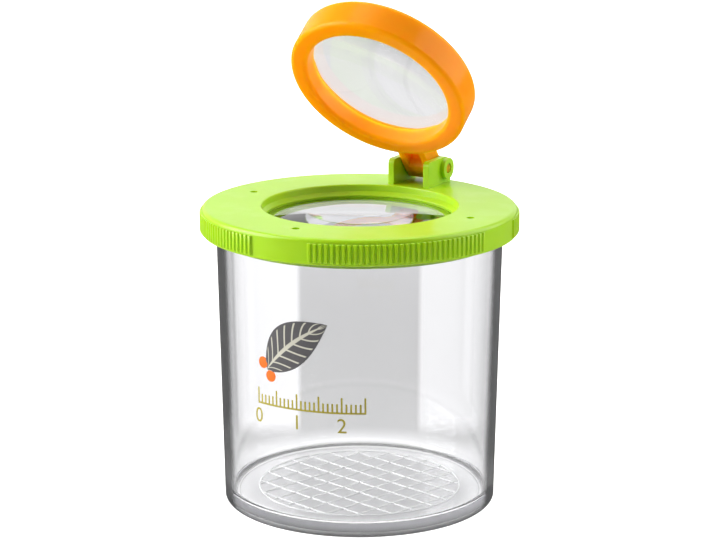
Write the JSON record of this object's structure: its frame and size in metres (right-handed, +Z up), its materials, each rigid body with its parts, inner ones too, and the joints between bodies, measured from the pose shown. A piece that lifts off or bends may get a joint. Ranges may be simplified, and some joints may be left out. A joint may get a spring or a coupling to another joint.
{
  "type": "bug catcher jar",
  "caption": "Clear beaker with a push-on lid that holds a fixed magnifying lens, and a further lens in a frame that flips up on the lid's hinge, for watching small insects.",
  "frame": {"origin": "centre of the jar's foot, on the surface it stands on", "axes": "+Z up along the jar, +Y from the jar's axis towards the lid's hinge, X along the hinge pin"},
  "size_m": [0.069, 0.069, 0.1108],
  "materials": {
    "clear_body": "clear, polished",
    "clear_lens": "clear, optical",
    "green_plastic": "satin moulded",
    "orange_plastic": "satin moulded"
  },
  "bodies": {
    "jar": {"jar": "clear_body"},
    "lid": {"lid": "green_plastic", "lid_lens": "clear_lens"},
    "flip_magnifier": {"flip_frame": "orange_plastic", "flip_lens": "clear_lens", "hinge_pin": "orange_plastic"}
  },
  "joints": [
    {"name": "lid_lift", "type": "slide", "parent": "jar", "child": "lid", "axis": [0, 0, 1], "range_m": [0, 0.06]},
    {"name": "flip_hinge", "type": "hinge", "parent": "lid", "child": "flip_magnifier", "pos_m": [0, 0.0305, 0.0697], "axis": [-1, 0, 0], "range_deg": [-52, 53]}
  ]
}
